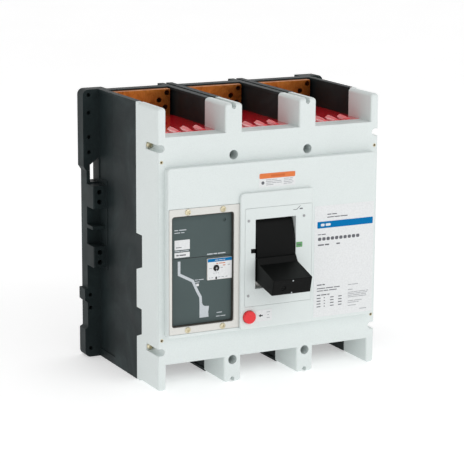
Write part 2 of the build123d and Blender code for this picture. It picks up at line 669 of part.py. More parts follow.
def slotted_screw(x, z, seat, head_r, head_h, shank_r, length):
    """Pan-head screw whose head stands in front of the seat plane."""
    head = rod_y(x, z, head_r, (seat - head_h, seat))
    head = fillet(front_edges(head), head_h * 0.45)
    head = head - block(span(x, head_r + 1), (seat - head_h - 1, seat - head_h * 0.5), span(z, head_r * 0.14))
    return head + rod_y(x, z, shank_r, (seat - 0.2, seat + length))


def trip_frame_screws():
    seat = FRONT - PANEL_RISE + TRIP_SEAT - TRIP_FRAME_THICK
    return group([slotted_screw(x, z, seat, 4.4, 1.8, 1.65, 8.0) for x in TRIP_SCREW_X for z in TRIP_SCREW_Z])


def trip_faceplate():
    y = FRONT - PANEL_RISE + TRIP_FACE_DEPTH
    plate = block((TRIP_WINDOW_X[0] + 0.3, TRIP_WINDOW_X[1] - 0.3), (y, y + 2.5),
                  (TRIP_WINDOW_Z[0] + 0.3, TRIP_WINDOW_Z[1] - 0.3))
    plug_z = (PLUG_Z[0] - 0.3, PLUG_Z[1] + 0.3)
    plate = plate - block((PLUG_X[0] - 0.3, PLUG_X[1] + 3.0), (y - 1, y + 4), plug_z)
    return plate - rod_y(FACE_RECESS_X, FACE_RECESS_Z, 2.6, (y - 1, y + 1.4))


def trip_housing():
    y = FRONT - PANEL_RISE + TRIP_FACE_DEPTH + 2.6
    body = block(TRIP_BODY_X, (y, FRONT + TRIP_BODY_DEPTH), (TRIP_WINDOW_Z[0] + 1.0, TRIP_WINDOW_Z[1] - 1.0))
    body = body - block((TRIP_BODY_X[0] + 3, TRIP_BODY_X[1] - 3), (y + 3, FRONT + TRIP_BODY_DEPTH - 3),
                        (TRIP_WINDOW_Z[0] + 4.0, TRIP_WINDOW_Z[1] - 4.0))
    plug_z = (PLUG_Z[0] - 0.3, PLUG_Z[1] + 0.3)
    return body - block((PLUG_X[0] - 0.3, TRIP_BODY_X[1] + 1), (y - 1, y + 4), plug_z)


def rating_plug():
    y = FRONT - PANEL_RISE + TRIP_FACE_DEPTH
    plug = slab(PLUG_X, (y - 2.0, y + 2.3), PLUG_Z, 1.0, 0.5)
    return plug - rod_y(PLUG_SCREW_X, PLUG_SCREW_Z, 4.58, (y - 3, y + 1.2))


def plug_screw():
    y = FRONT - PANEL_RISE + TRIP_FACE_DEPTH
    knob = rod_y(PLUG_SCREW_X, PLUG_SCREW_Z, 4.5, (y - 3.2, y + 1.1))
    knob = fillet(front_edges(knob), 0.5)
    return knob - block(span(PLUG_SCREW_X, 3.6), (y - 4, y - 2.2), span(PLUG_SCREW_Z, 0.6))


def trip_actuator():
    """Solenoid case inside the trip unit, above the end of the trip bar."""
    z = (TRIP_WINDOW_Z[0] + 4.1, TRIP_WINDOW_Z[0] + 30)
    return block((-98.0, -82.0), (TRIP_BAR_Y - 13, TRIP_BAR_Y + 13), z)


# ---------------------------------------------------------------- trip button and bar
def trip_button():
    front = FRONT - COLUMN_RISE
    cap = rod_y(BUTTON_X, BUTTON_Z, BUTTON_R, (front - 4.5, front + 4.5))
    cap = fillet(front_edges(cap), 1.2)
    stem = rod_y(BUTTON_X, BUTTON_Z, 3.0, (front + 4, TRIP_BAR_Y - 2.5 - BUTTON_GAP))
    return cap + stem


def trip_button_spring():
    """Return spring between the cap and the floor of its hole."""
    cap_floor = FRONT - COLUMN_RISE + 4.5
    hole_floor = FRONT - 4.0
    length = hole_floor - cap_floor - 1.4
    coil = spring_coil(length, 5.2, 0.6, 4)
    return Pos(BUTTON_X, hole_floor - 0.7, BUTTON_Z) * Rot(90, 0, 0) * coil


def trip_bar():
    bar = rod_x(TRIP_BAR_Y, TRIP_BAR_Z, TRIP_BAR_R, TRIP_BAR_X)
    for x, high in ((BUTTON_X, 20.0), (0.0, 32.0)):
        paddle = block(span(x, 5.0), (TRIP_BAR_Y - 2.5, TRIP_BAR_Y + 1.5), (TRIP_BAR_Z, TRIP_BAR_Z + high))
        bar = bar + paddle
    return bar


def trip_bar_bearings():
    bearings = []
    for x in TRIP_BEARING_X:
        saddle = block(span(x, 3.0), span(TRIP_BAR_Y, 8), (LOWER_BAND_Z + 10, TRIP_BAR_Z + 8))
        bearings.append(saddle - rod_x(TRIP_BAR_Y, TRIP_BAR_Z, TRIP_BAR_R + 0.06, span(x, 6)))
    return group(bearings)


# ---------------------------------------------------------------- plates, labels and fasteners
def escutcheon():
    crown = FRONT - COLUMN_RISE
    y = (crown + ESCUTCHEON_SEAT - ESCUTCHEON_THICK, crown + ESCUTCHEON_SEAT)
    plate = slab(ESCUTCHEON_X, y, ESCUTCHEON_Z, 1.6, 0.4)
    plate = plate - block(span(0, OPENING_X), (y[0] - 1, y[1] + 1), OPENING_Z)
    plate = plate - block((-OPENING_X - 7.0, -OPENING_X + 1), (y[0] - 1, y[1] + 1), (8.5, 15.0))
    for x in ESCUTCHEON_SCREW_X:
        for z in ESCUTCHEON_SCREW_Z:
            plate = plate - rod_y(x, z, 1.25, (y[0] - 1, y[1] + 1))
    return plate


def escutcheon_screws():
    seat = FRONT - COLUMN_RISE + ESCUTCHEON_SEAT - ESCUTCHEON_THICK
    return group([slotted_screw(x, z, seat, 2.0, 0.7, 1.15, 8.0)
                  for x in ESCUTCHEON_SCREW_X for z in ESCUTCHEON_SCREW_Z])


def label(x, z, surface):
    return block(x, (surface - 0.25, surface), z)


def cover_screws():
    seat = FRONT + CHANNEL_DEPTH
    return group([slotted_screw(side * CHANNEL_X, z, seat, 4.6, 3.6, 2.45, 55.0)
                  for side in (-1, 1) for z in CHANNEL_ZS])


def front_inserts():
    inserts = []
    for x in (-INSERT_X, INSERT_X):
        for z in INSERT_ZS:
            sleeve = rod_y(x, z, INSERT_R, (FRONT + 0.2, FRONT + 11.8))
            inserts.append(sleeve - rod_y(x, z, 1.5, (FRONT - 1, FRONT + 9)))
    return group(inserts)


# ---------------------------------------------------------------- node list
def nodes():
    panel = FRONT - PANEL_RISE
    column = FRONT - COLUMN_RISE
    parts = {
        "base_housing": base_housing(),
        "front_cover": front_cover(),
        "cover_screws": cover_screws(),
        "front_inserts": front_inserts(),
        "trip_unit_frame": trip_frame(),
        "trip_unit_frame_screws": trip_frame_screws(),
        "trip_unit_faceplate": trip_faceplate(),
        "trip_unit_housing": trip_housing(),
        "trip_actuator": trip_actuator(),
        "rating_plug": rating_plug(),
        "rating_plug_screw": plug_screw(),
        "handle_escutcheon": escutcheon(),
        "handle_escutcheon_screws": escutcheon_screws(),
        "handle": handle_grip(),
        "handle_lower_shutter": handle_lower_shutter(),
        "handle_screw": handle_screw(),
        "handle_yoke": handle_yoke(),
        "handle_pivot_pin": handle_pivot_pin(),
        "operating_springs": operating_springs(),
        "spring_anchor_pin": spring_anchor(),
        "mechanism_side_plates": mechanism_plates(),
        "cradle": cradle(),
        "cradle_pin": cradle_pin(),
        "latch": latch(),
        "latch_pin": latch_pin(),
        "push_to_trip_button": trip_button(),
        "button_spring": trip_button_spring(),
        "trip_bar": trip_bar(),
        "trip_bar_bearings": trip_bar_bearings(),
        "crossbar": crossbar(),
        "moving_contact_tips": moving_tips(),
        "fixed_contact_tips": fixed_tips(),
        "rating_label": label((66.0, 165.3), (-99.0, 66.6), panel),
        "upper_sticker": label((-25.0, 33.5), (101.6, 122.0), panel),
        "trip_label": label((-31.0, -5.0), (-93.0, -76.0), column),
    }
    for name, x in zip(POLE_NAMES, POLES):
        parts["vent_baffle_" + name] = vent_baffle(x)
        parts["arc_plates_" + name] = arc_plates(x)
        parts["arc_side_cards_" + name] = arc_side_cards(x)
        parts["line_terminal_" + name] = line_terminal(x)
        parts["load_terminal_" + name] = load_terminal(x)
        parts["current_transformer_" + name] = current_transformer(x)
        parts["flexible_shunt_" + name] = flexible_shunt(x)
        parts["contact_arms_" + name] = contact_arms(x)
    return parts


def main():
    os.makedirs("parts", exist_ok=True)
    for name, shape in nodes().items():
        export_step(shape, "parts/" + name + ".step")


main()
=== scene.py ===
"""Looks of the molded case breaker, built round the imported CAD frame.

Metres, row frame, front faces -Y.
"""
import json
import math

import bmesh
import bpy
from mathutils import Matrix, Vector


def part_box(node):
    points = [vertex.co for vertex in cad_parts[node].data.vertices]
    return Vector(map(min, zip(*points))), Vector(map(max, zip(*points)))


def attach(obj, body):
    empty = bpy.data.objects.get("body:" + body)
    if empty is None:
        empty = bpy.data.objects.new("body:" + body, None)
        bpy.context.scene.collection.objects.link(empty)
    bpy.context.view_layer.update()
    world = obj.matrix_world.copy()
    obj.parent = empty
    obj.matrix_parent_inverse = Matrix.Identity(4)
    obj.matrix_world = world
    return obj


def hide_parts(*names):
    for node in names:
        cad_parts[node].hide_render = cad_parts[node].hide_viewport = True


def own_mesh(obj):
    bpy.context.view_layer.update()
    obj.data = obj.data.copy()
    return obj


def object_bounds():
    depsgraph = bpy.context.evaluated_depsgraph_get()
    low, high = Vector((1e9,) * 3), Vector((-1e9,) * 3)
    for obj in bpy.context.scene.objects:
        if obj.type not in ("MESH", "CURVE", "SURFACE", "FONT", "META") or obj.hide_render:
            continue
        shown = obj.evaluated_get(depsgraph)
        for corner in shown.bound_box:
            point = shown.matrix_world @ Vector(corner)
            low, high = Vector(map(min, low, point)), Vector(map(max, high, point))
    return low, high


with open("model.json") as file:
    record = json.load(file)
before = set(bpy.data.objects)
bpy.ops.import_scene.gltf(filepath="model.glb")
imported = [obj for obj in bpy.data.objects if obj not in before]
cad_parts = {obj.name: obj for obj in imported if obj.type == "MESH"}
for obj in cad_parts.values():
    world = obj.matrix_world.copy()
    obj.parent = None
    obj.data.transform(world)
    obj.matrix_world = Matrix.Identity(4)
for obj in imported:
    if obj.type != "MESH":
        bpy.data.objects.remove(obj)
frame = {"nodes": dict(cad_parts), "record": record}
CAD_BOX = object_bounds()
MM = 0.001
BODY = "breaker_body"


# ------------------------------------------------------------------ materials
class Shade:
    """Builds one procedural material."""

    def __init__(self, name, rough, metal=0.0, **sockets):
        self.mat = bpy.data.materials.new(name)
        self.mat.use_nodes = True
        self.nodes = self.mat.node_tree.nodes
        self.links = self.mat.node_tree.links
        self.bsdf = self.nodes["Principled BSDF"]
        self.bsdf.inputs["Roughness"].default_value = rough
        self.bsdf.inputs["Metallic"].default_value = metal
        for key, value in sockets.items():
            self.bsdf.inputs[key.replace("_", " ")].default_value = value
        self.coord = self.nodes.new("ShaderNodeTexCoord").outputs["Object"]

    def stretched(self, scale):
        node = self.nodes.new("ShaderNodeMapping")
        node.inputs["Scale"].default_value = scale
        self.links.new(self.coord, node.inputs["Vector"])
        return node.outputs["Vector"]

    def noise(self, scale, detail, rough=0.55, distortion=0.0, vector=None):
        node = self.nodes.new("ShaderNodeTexNoise")
        node.inputs["Scale"].default_value = scale
        node.inputs["Detail"].default_value = detail
        node.inputs["Roughness"].default_value = rough
        node.inputs["Distortion"].default_value = distortion
        self.links.new(vector or self.coord, node.inputs["Vector"])
        return node.outputs["Fac"]

    def ramp(self, fac, *stops):
        node = self.nodes.new("ShaderNodeValToRGB")
        ramp = node.color_ramp
        while len(ramp.elements) < len(stops):
            ramp.elements.new(0.5)
        for element, (place, colour) in zip(ramp.elements, stops):
            element.position = place
            element.color = (*colour, 1.0)
        self.links.new(fac, node.inputs["Fac"])
        return node.outputs["Color"]

    def multiply(self, a, b):
        node = self.nodes.new("ShaderNodeMix")
        node.data_type = "RGBA"
        node.blend_type = "MULTIPLY"
        node.inputs["Factor"].default_value = 1.0
        # the node's colour sockets share their names with others: 6 and 7 are A and B, 2 is Result
        self.links.new(a, node.inputs[6])
        self.links.new(b, node.inputs[7])
        return node.outputs[2]

    def colour(self, socket):
        self.links.new(socket, self.bsdf.inputs["Base Color"])

    def roughness(self, fac, low, high):
        node = self.nodes.new("ShaderNodeMapRange")
        node.inputs["To Min"].default_value = low
        node.inputs["To Max"].default_value = high
        self.links.new(fac, node.inputs["Value"])
        self.links.new(node.outputs["Result"], self.bsdf.inputs["Roughness"])

    def relief(self, *layers, edge=0.0):
        """Bump layers of (height, strength, distance), over softened edges of the given radius."""
        normal = None
        if edge:
            bevel = self.nodes.new("ShaderNodeBevel")
            bevel.samples = 4
            bevel.inputs["Radius"].default_value = edge
            normal = bevel.outputs["Normal"]
        for height, strength, distance in layers:
            node = self.nodes.new("ShaderNodeBump")
            node.inputs["Strength"].default_value = strength
            node.inputs["Distance"].default_value = distance
            self.links.new(height, node.inputs["Height"])
            if normal:
                self.links.new(normal, node.inputs["Normal"])
            normal = node.outputs["Normal"]
        self.links.new(normal, self.bsdf.inputs["Normal"])
        return self.mat


def grey(level):
    return (level, level, level)


def scaled(colour, factor):
    return tuple(channel * factor for channel in colour)


def moulded(name, colour, rough, spread=0.05, cloud=9.0, grain=0.00004, edge=0.0006, **sockets):
    """Moulded plastic: faint clouding, fine surface grain, and slow waves of gloss."""
    s = Shade(name, rough, **sockets)
    clouds = s.noise(cloud, detail=5.0, rough=0.6, distortion=0.8)
    specks = s.noise(900.0, detail=2.0, rough=0.7)
    tint = s.ramp(clouds, (0.25, scaled(colour, 1 - spread)), (0.75, scaled(colour, 1 + spread)))
    dust = s.ramp(specks, (0.30, grey(0.94)), (0.55, grey(1.0)))
    s.colour(s.multiply(tint, dust))
    s.roughness(s.noise(38.0, detail=3.0), rough - 0.07, rough + 0.07)
    fine, waves = s.noise(1500.0, detail=3.0), s.noise(60.0, detail=2.0)
    return s.relief((fine, 0.5, grain), (waves, 0.25, grain * 3), edge=edge)


def charcoal(name):
    """Glass-filled polyester: dark, with paler flow clouds and a slight green-blue tint."""
    s = Shade(name, 0.5, Specular_IOR_Level=0.12)
    flow = s.noise(7.0, detail=7.0, rough=0.62, distortion=1.6)
    base = s.ramp(flow, (0.30, (0.009, 0.013, 0.014)), (0.52, (0.016, 0.024, 0.025)),
                  (0.74, (0.034, 0.050, 0.052)))
    strands = s.noise(260.0, detail=3.0, rough=0.7, distortion=2.0)
    fibre = s.ramp(strands, (0.30, grey(0.82)), (0.62, grey(1.12)))
    s.colour(s.multiply(base, fibre))
    s.roughness(s.noise(20.0, detail=5.0, rough=0.6, distortion=1.0), 0.40, 0.62)
    fine, waves = s.noise(700.0, detail=4.0), s.noise(26.0, detail=3.0)
    return s.relief((fine, 0.5, 0.00006), (waves, 0.3, 0.00025), edge=0.0006)


def metal(name, colour, rough, streak=(40.0, 40.0, 900.0), dark=0.72):
    """Rolled or turned metal: directional scratches and duller patches."""
    s = Shade(name, rough, metal=1.0)
    lines = s.noise(1.0, detail=6.0, rough=0.7, distortion=0.2, vector=s.stretched(streak))
    patches = s.noise(55.0, detail=5.0, rough=0.65, distortion=0.8)
    tone = s.ramp(patches, (0.28, scaled(colour, dark)), (0.68, colour))
    sheen = s.ramp(lines, (0.3, grey(0.86)), (0.7, grey(1.0)))
    s.colour(s.multiply(tone, sheen))
    s.roughness(patches, rough + 0.12, rough - 0.06)
    fine = s.noise(420.0, detail=3.0)
    return s.relief((lines, 0.35, 0.00003), (fine, 0.2, 0.00004), edge=0.0004)


def copper_plate(name):
    """Bare copper bar: warm orange-brown, browner oxide blotches, vertical rolling marks."""
    s = Shade(name, 0.38, metal=1.0)
    blotch = s.noise(48.0, detail=7.0, rough=0.68, distortion=1.3)
    base = s.ramp(blotch, (0.24, (0.28, 0.08, 0.018)), (0.46, (0.58, 0.19, 0.035)),
                  (0.72, (0.84, 0.33, 0.07)))
    rolled = s.noise(1.0, detail=5.0, rough=0.7, distortion=0.3,
                     vector=s.stretched((900.0, 60.0, 18.0)))
    marks = s.ramp(rolled, (0.3, (0.80, 0.78, 0.76)), (0.7, grey(1.0)))
    s.colour(s.multiply(base, marks))
    s.roughness(blotch, 0.52, 0.30)
    fine = s.noise(300.0, detail=3.0)
    return s.relief((rolled, 0.4, 0.00004), (fine, 0.25, 0.00005), edge=0.0005)


def printed(name, colour, rough=0.5, gloss=0.2):
    """Ink or film: almost even, with the slight mottling and fibre of a printed surface."""
    s = Shade(name, rough, Specular_IOR_Level=gloss)
    mottle = s.noise(400.0, detail=3.0)
    s.colour(s.ramp(mottle, (0.3, scaled(colour, 0.94)), (0.7, scaled(colour, 1.04))))
    s.roughness(s.noise(90.0, detail=2.0), rough - 0.05, rough + 0.08)
    return s.relief((s.noise(1800.0, detail=2.0), 0.3, 0.00001))


COVER = moulded("cover_grey_white", (0.725, 0.78, 0.77), rough=0.42, spread=0.02)
FRAME_WHITE = moulded("frame_off_white", (0.72, 0.715, 0.68), rough=0.45, spread=0.02, edge=0.0003)
BASE = charcoal("base_charcoal")
HANDLE = moulded("handle_black", (0.0030, 0.0034, 0.0033), rough=0.44, spread=0.2, grain=0.00005,
                 edge=0.0008, Specular_IOR_Level=0.10)
LINER = moulded("window_liner", (0.045, 0.040, 0.032), rough=0.6, spread=0.2, edge=0.0002)
SLATE = moulded("slate_face", (0.070, 0.098, 0.098), rough=0.5, cloud=14.0, grain=0.00002,
                edge=0.0002, Specular_IOR_Level=0.25)
COIL = moulded("potting_black", (0.02, 0.02, 0.022), rough=0.5, spread=0.15,
               Specular_IOR_Level=0.25)
RED_FIBRE = moulded("red_vulcanised_fibre", (0.92, 0.008, 0.024), rough=0.20, cloud=20.0,
                    grain=0.00001, edge=0.0003, Coat_Weight=0.9, Coat_Roughness=0.07)
BUTTON = moulded("button_red", (0.80, 0.008, 0.018), rough=0.28, cloud=60.0,
                 grain=0.00002, edge=0.0005, Coat_Weight=0.3, Coat_Roughness=0.1)
COPPER = copper_plate("bare_copper")
BRASS = metal("brass_screw", (0.86, 0.78, 0.56), rough=0.30, streak=(300.0, 300.0, 300.0), dark=0.62)
STEEL = metal("zinc_steel", (0.52, 0.53, 0.54), rough=0.34)
ARC_STEEL = metal("arc_steel", (0.33, 0.33, 0.34), rough=0.42)
SILVER = metal("contact_silver", (0.80, 0.79, 0.76), rough=0.34)
CARD = moulded("fibre_card", (0.50, 0.42, 0.29), rough=0.7, spread=0.08)
FILM = printed("label_film", (0.765, 0.78, 0.785), rough=0.4, gloss=0.3)
INK = printed("ink_grey", (0.13, 0.135, 0.15))
INK_FAINT = printed("ink_pale_grey", (0.40, 0.41, 0.43))
INK_BLACK = printed("ink_black", (0.02, 0.02, 0.022))
INK_LIGHT = printed("ink_light", (0.56, 0.60, 0.63))
INK_BLUE = printed("ink_blue", (0.001, 0.165, 0.42), rough=0.45, gloss=0.05)
INK_ORANGE = printed("ink_orange", (0.74, 0.20, 0.06), rough=0.4)
INK_RUST = printed("ink_rust", (0.60, 0.14, 0.04), rough=0.4)
INK_GREEN = printed("ink_green", (0.14, 0.36, 0.15), rough=0.4)
BY_SLOT = {
    "cover_white": COVER, "base_black": BASE, "handle_black": HANDLE, "frame_white": FRAME_WHITE,
    "slate_face": SLATE, "baffle_red": RED_FIBRE, "copper": COPPER, "contact_silver": SILVER,
    "brass": BRASS, "zinc_steel": STEEL, "arc_steel": ARC_STEEL, "fibre_card": CARD,
    "coil_black": COIL, "button_red": BUTTON, "label_white": FILM,
}


def dress_cad_nodes():
    for row in frame["record"]["subparts"]:
        node = frame["nodes"][row["node"]]
        for slot in node.material_slots:
            slot.material = BY_SLOT[row["material_slot"]]


# ------------------------------------------------------------------ mesh helpers
def finished(name, bm, material, body):
    """Turn a bmesh into a piece that rides on a body."""
    bmesh.ops.recalc_face_normals(bm, faces=bm.faces)
    mesh = bpy.data.meshes.new(name)
    bm.to_mesh(mesh)
    bm.free()
    piece = bpy.data.objects.new(name, mesh)
    bpy.context.scene.collection.objects.link(piece)
    mesh.materials.append(material)
    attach(piece, body)
    return piece


def prism(bm, outline, y0, y1):
    """Closed prism of an (x, z) outline between two depths."""
    front = [bm.verts.new((x, y0, z)) for x, z in outline]
    back = [bm.verts.new((x, y1, z)) for x, z in outline]
    bm.faces.new(front)
    bm.faces.new(list(reversed(back)))
    count = len(outline)
    for i in range(count):
        j = (i + 1) % count
        bm.faces.new((front[i], back[i], back[j], front[j]))


def rounded(x0, x1, z0, z1, radius, steps=5):
    """Outline of a rectangle with round corners."""
    radius = min(radius, (x1 - x0) / 2, (z1 - z0) / 2)
    points = []
    centres = ((x1 - radius, z1 - radius, 0), (x0 + radius, z1 - radius, 90),
               (x0 + radius, z0 + radius, 180), (x1 - radius, z0 + radius, 270))
    for cx, cz, start in centres:
        for i in range(steps + 1):
            angle = math.radians(start + 90.0 * i / steps)
            points.append((cx + radius * math.cos(angle), cz + radius * math.sin(angle)))
    return points


def circle(cx, cz, radius, steps):
    turns = [2 * math.pi * i / steps for i in range(steps)]
    return [(cx + radius * math.cos(t), cz + radius * math.sin(t)) for t in turns]


def holed(x0, x1, z0, z1, centre, radius):
    """Two outlines that together make a rectangle with a round hole."""
    cx, cz = centre
    steps = 24
    turns = [math.pi * i / steps for i in range(steps + 1)]
    halves = []
    for side, edge in ((-1, x0), (1, x1)):
        arc = [(cx + side * radius * math.sin(t), cz - radius * math.cos(t)) for t in turns]
        halves.append([(edge, z0), (cx, z0), *arc, (cx, z1), (edge, z1)])
    return halves


def ribbon(points, width):
    """Outline of a bent stripe of even width, with mitred corners."""
    left, right = [], []
    last = len(points) - 1
    bluntest = 0.35  # stops the mitre of a sharp bend from running far out
    for i, (x, z) in enumerate(points):
        ahead = Vector(points[min(i + 1, last)]) - Vector(points[i])
        behind = Vector(points[i]) - Vector(points[max(i - 1, 0)])
        a = (ahead if i < last else behind).normalized()
        b = (behind if i > 0 else ahead).normalized()
        side = Vector((-(a + b).y, (a + b).x)).normalized()
        reach = width / 2 / max(bluntest, side.dot(Vector((-a.y, a.x))))
        left.append((x + side.x * reach, z + side.y * reach))
        right.append((x - side.x * reach, z - side.y * reach))
    return left + right[::-1]


def ring(bm, outer, inner, y0, y1):
    """Closed band between two outlines with the same number of points."""
    loops = [[bm.verts.new((x, y, z)) for x, z in line] for line, y in
             ((outer, y0), (inner, y0), (inner, y1), (outer, y1))]
    count = len(outer)
    for k, loop in enumerate(loops):
        following = loops[(k + 1) % len(loops)]
        for i in range(count):
            j = (i + 1) % count
            bm.faces.new((loop[i], loop[j], following[j], following[i]))


def pan_head(bm, centre, seat, radius, height, turn):
    """Domed screw head with a cross recess, facing -Y."""
    cx, cz = centre
    rings, steps = 14, 48
    half_width, half_length, sunk = 0.13 * radius, 0.54 * radius, 0.55 * height
    angles = [2 * math.pi * i / steps for i in range(steps)]

    def level(r, angle):
        u, v = abs(r * math.cos(angle - turn)), abs(r * math.sin(angle - turn))
        recess = (u < half_width and v < half_length) or (v < half_width and u < half_length)
        dome = height * math.sqrt(1.0 - 0.9 * (r / radius) ** 4)
        return seat - dome + (sunk if recess else 0.0)

    loops = []
    for k in range(1, rings + 1):
        r = radius * k / rings
        loops.append([bm.verts.new((cx + r * math.cos(a), level(r, a), cz + r * math.sin(a)))
                      for a in angles])
    loops.append([bm.verts.new((v.co.x, seat, v.co.z)) for v in loops[-1]])
    middle = bm.verts.new((cx, level(0.0, 0.0), cz))
    for i in range(steps):
        j = (i + 1) % steps
        bm.faces.new((middle, loops[0][i], loops[0][j]))
        for inner, outer in zip(loops, loops[1:]):
            bm.faces.new((inner[i], outer[i], outer[j], inner[j]))
    bm.faces.new(loops[-1])


# ------------------------------------------------------------------ prints
PRINT_SINK = 0.05 * MM


class Surface:
    """Print on the front of a CAD node.

    Places are millimetres from its lower left corner, above any margin.
    """

    def __init__(self, node, body=BODY, margin=0.0):
        low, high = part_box(node)
        self.low = low + Vector((0, 0, margin * MM))
        self.wide = (high.x - self.low.x) / MM
        self.tall = (high.z - self.low.z) / MM
        self.body = body

    def outline(self, points):
        return [(self.low.x + x * MM, self.low.z + z * MM) for x, z in points]

    def print(self, name, outlines, material, lift=0.12):
        bm = bmesh.new()
        for points in outlines:
            prism(bm, self.outline(points), self.low.y - lift * MM, self.low.y + PRINT_SINK)
        return finished(name, bm, material, self.body)


def text_bars(x, z, widths, height, gap):
    """A line of words shown as plain bars, with no letters."""
    bars = []
    for width in widths:
        bars.append(rounded(x, x + width, z, z + height, height * 0.3, 2))
        x += width + gap
    return bars


def text_rows(*rows):
    """Several lines of bars, each given as (x, z, widths, height, gap)."""
    return [bar for row in rows for bar in text_bars(*row)]


def paragraph(x, top, pitch, rows, height, gap):
    """Lines of bars under each other."""
    return text_rows(*((x, top - row * pitch, words, height, gap) for row, words in enumerate(rows)))


def trip_unit_prints():
    face = Surface("trip_unit_faceplate", margin=3.2)
    curve = [(13.6, 90.5), (13.6, 71.6), (34.9, 60.2), (42.0, 44.9), (47.1, 35.6), (47.6, 27.0)]
    foot = [(45.6, 5.4), (59.9, 5.4), (59.3, 12.5), (60.6, 21.4), (54.0, 21.8), (50.9, 23.6),
            (49.6, 26.9), (45.6, 26.9)]
    face.print("trip_face_curve", [ribbon(curve, 4.0), foot], INK_LIGHT)
    labels = [rounded(6.6, 30.2, 107.0, 121.0, 0.5, 2), rounded(6.5, 30.1, 95.9, 103.2, 0.5, 2),
              rounded(40.4, 44.4, 52.0, 55.6, 0.3, 2)]
    face.print("trip_face_labels", labels, FILM)
    captions = text_rows(
        (6.4, 134.6, (6.0, 11.0), 1.3, 1.4), (6.4, 131.0, (9.0, 5.0), 1.1, 1.4),
        (6.6, 104.6, (8.0, 13.0), 1.0, 1.0),
        (38.0, 60.6, (5.0, 8.0), 1.0, 1.0), (38.4, 57.4, (7.0,), 1.0, 1.0),
        (72.6, 9.6, (8.6,), 1.1, 1.0), (71.6, 4.2, (6.0, 8.0), 1.1, 1.0),
        (57.2, 95.8, (9.0, 6.0, 12.0), 1.5, 1.0))
    face.print("trip_face_captions", captions, INK_LIGHT)
    label_lines = text_rows((8.4, 110.0, (9.0,), 1.0, 1.0), (9.2, 98.4, (4.0, 10.0), 1.8, 1.0))
    face.print("trip_face_label_lines", label_lines, INK, lift=0.16)
    seam = [rounded(0.6, 56.0, 93.6, 94.4, 0.2, 2),
            rounded(56.0, face.wide - 0.4, 93.0, 93.8, 0.2, 2)]
    face.print("trip_face_seam", seam, INK_BLACK, lift=0.06)


def rating_plug_prints():
    plug = Surface("rating_plug")
    wide, tall = plug.wide, plug.tall
    dial_low, dial_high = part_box("rating_plug_screw")
    dial_x = (dial_low.x + dial_high.x) / 2 / MM - plug.low.x / MM
    dial_z = (dial_low.z + dial_high.z) / 2 / MM - plug.low.z / MM
    hole_radius = (dial_high.x - dial_low.x) / 2 / MM + 0.3
    border, band = 0.6, 4.6
    film = holed(border, wide - border, border, tall - band - 0.9, (dial_x, dial_z), hole_radius)
    plug.print("plug_film", film, FILM, lift=0.06)
    blue = rounded(border, wide - border, tall - band - 0.5, tall - 0.5, 0.4, 2)
    plug.print("plug_blue_band", [blue], INK_BLUE)
    band_words = text_bars(12.0, tall - band + 1.1, (5.0, 6.0, 3.0), 1.0, 1.0)
    plug.print("plug_band_words", band_words, INK_LIGHT, lift=0.18)
    rust = text_rows((14.0, tall - 8.4, (3.0, 10.0), 1.1, 1.2), (24.4, tall - 11.6, (4.0,), 1.0, 1.4))
    plug.print("plug_rust_lines", rust, INK_RUST)
    pale = text_rows(
        (2.4, dial_z - 0.6, (5.0,), 1.1, 1.0), (20.6, dial_z - 0.4, (4.0,), 1.0, 1.0),
        (2.6, 2.6, (2.0, 3.0), 1.0, 1.6), (17.0, 2.8, (3.4, 4.0, 3.0), 1.0, 2.0),
        (9.6, dial_z - 7.8, (1.6, 1.6, 1.6), 0.9, 1.8), (32.0, tall - 11.6, (3.6,), 1.2, 1.0))
    plug.print("plug_grey_lines", pale, INK_FAINT)
    plug.print("plug_black_mark", [rounded(12.6, 15.2, 0.6, 4.0, 0.3, 2)], INK_BLACK)


def rating_label_prints():
    label = Surface("rating_label")
    band = rounded(4.8, label.wide - 1.4, 132.4, 142.2, 1.2)
    label.print("rating_label_blue_band", [band], INK_BLUE)
    band_mark = text_bars(10.6, 135.4, (6.0, 8.0), 3.6, 2.0)
    label.print("rating_label_band_mark", band_mark, FILM, lift=0.2)
    label.print("rating_label_title_lines", text_bars(6.2, 114.0, (5.4,) * 10, 4.8, 1.7), INK)
    dark = text_rows(
        (21.0, 151.6, (7.0, 8.0), 1.3, 1.0), (21.0, 147.4, (11.0, 9.0, 12.0), 1.3, 1.0),
        (5.8, 122.6, (5.0, 7.0), 1.2, 1.2), (6.2, 106.6, (10.0, 7.0), 2.0, 1.6),
        (37.0, 106.6, (6.0,), 2.0, 1.6), (5.6, 47.2, (8.0, 4.0), 1.6, 1.2),
        (5.6, 42.0, (14.0, 12.0, 10.0), 1.2, 1.2), (5.6, 38.4, (10.0, 8.0, 13.0), 1.2, 1.2),
        (5.6, 32.0, (6.0, 9.0, 4.0), 1.4, 1.2))
    for row in range(4):
        for x, width in ((5.6, 6.4), (17.4, 2.0), (28.0, 6.0), (41.6, 6.0)):
            dark += text_bars(x, 27.4 - row * 4.2, (width,), 1.3, 1.0)
    label.print("rating_label_lines", dark, INK)
    small_print = ((9.0, 7.0, 12.0, 4.0), (12.0, 9.0, 10.0), (7.0, 13.0, 9.0), (10.0, 6.0, 14.0))
    pale = text_rows((58.0, 43.0, (6.0, 10.0), 1.1, 1.0), (58.0, 35.4, (8.0,), 1.1, 1.0))
    pale += paragraph(58.0, 31.4, 2.4, small_print, 1.0, 0.9)
    pale += text_rows(
        (58.0, 18.4, (9.0, 14.0), 1.0, 0.9), (58.0, 15.8, (14.0, 4.0), 1.0, 0.9),
        (58.0, 11.4, (14.0,), 1.0, 0.9), (78.0, 4.8, (12.0,), 1.1, 0.9))
    label.print("rating_label_pale_lines", pale, INK_FAINT)


